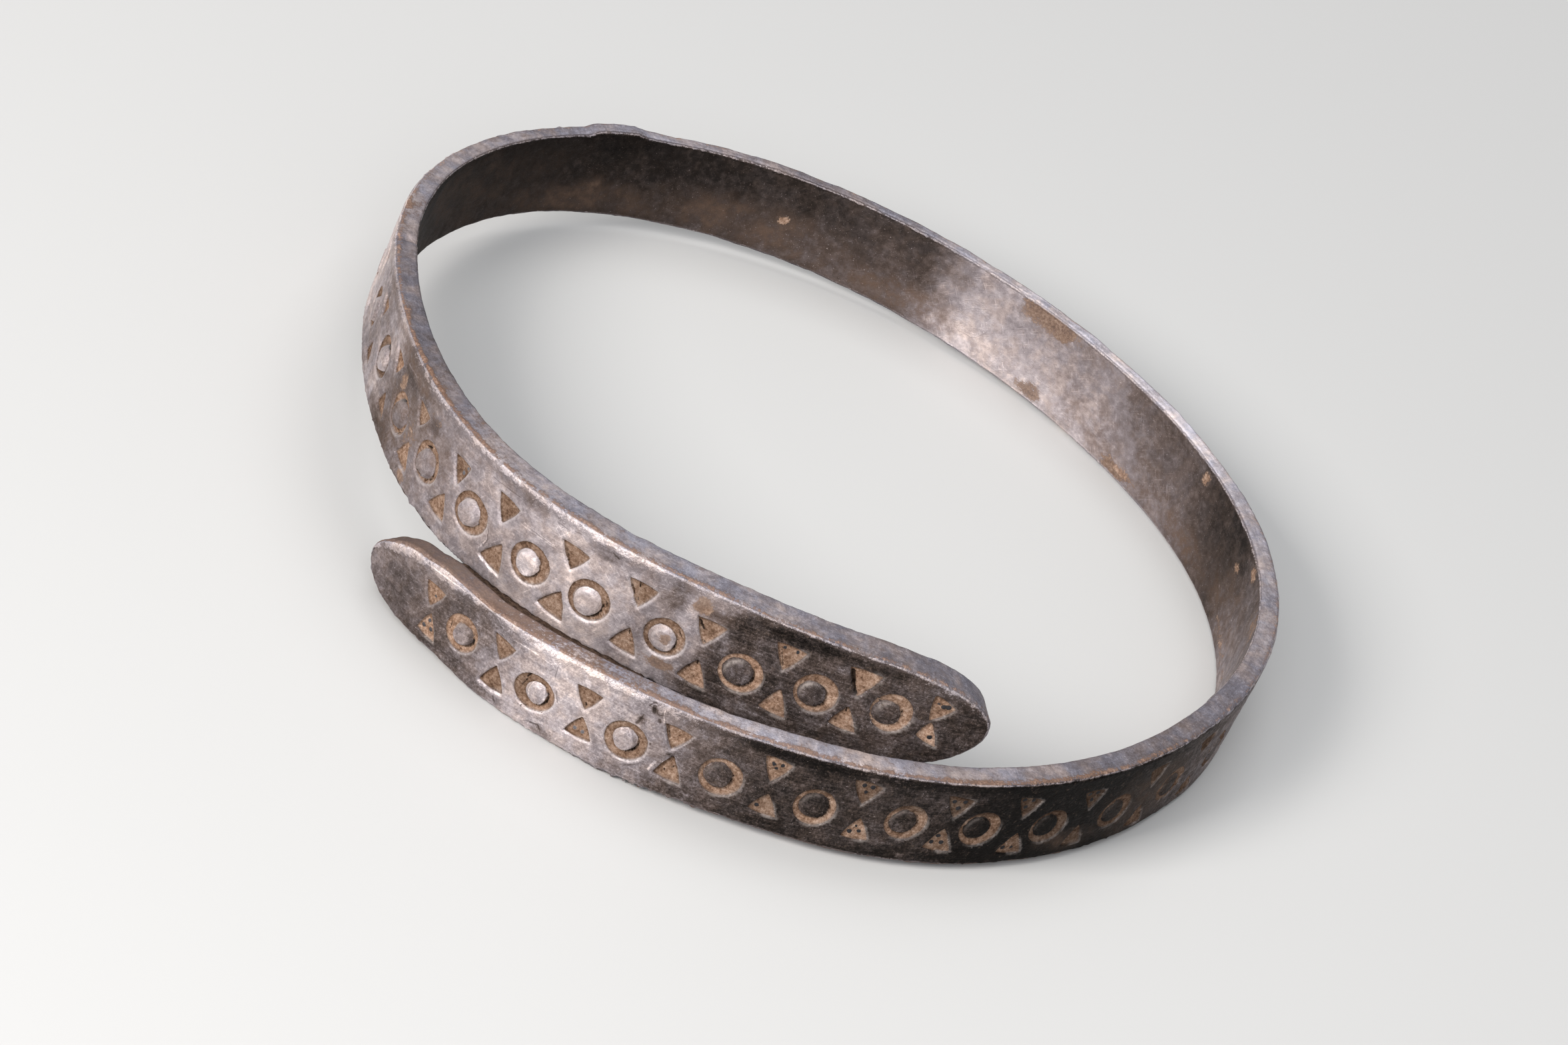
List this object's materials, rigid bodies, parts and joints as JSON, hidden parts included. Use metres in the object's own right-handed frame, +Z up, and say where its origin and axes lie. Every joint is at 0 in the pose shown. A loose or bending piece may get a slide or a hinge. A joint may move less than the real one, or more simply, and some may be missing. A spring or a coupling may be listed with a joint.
{
  "type": "coiled strip bracelet",
  "caption": "Flat silver strip with rounded ends, struck with rings and triangles and bent into an overlapping coil.",
  "frame": {"origin": "under the middle of the coil, at the surface it lies on", "axes": "+Z up through the coil; the overlap of the two runs is at the front, towards -Y; +X to the right of it"},
  "size_m": [0.0678, 0.0696, 0.014],
  "materials": {
    "silver": "worn and tarnished silver with soil in the recesses"
  },
  "bodies": {
    "root": {"bracelet_band": "silver"}
  },
  "joints": []
}
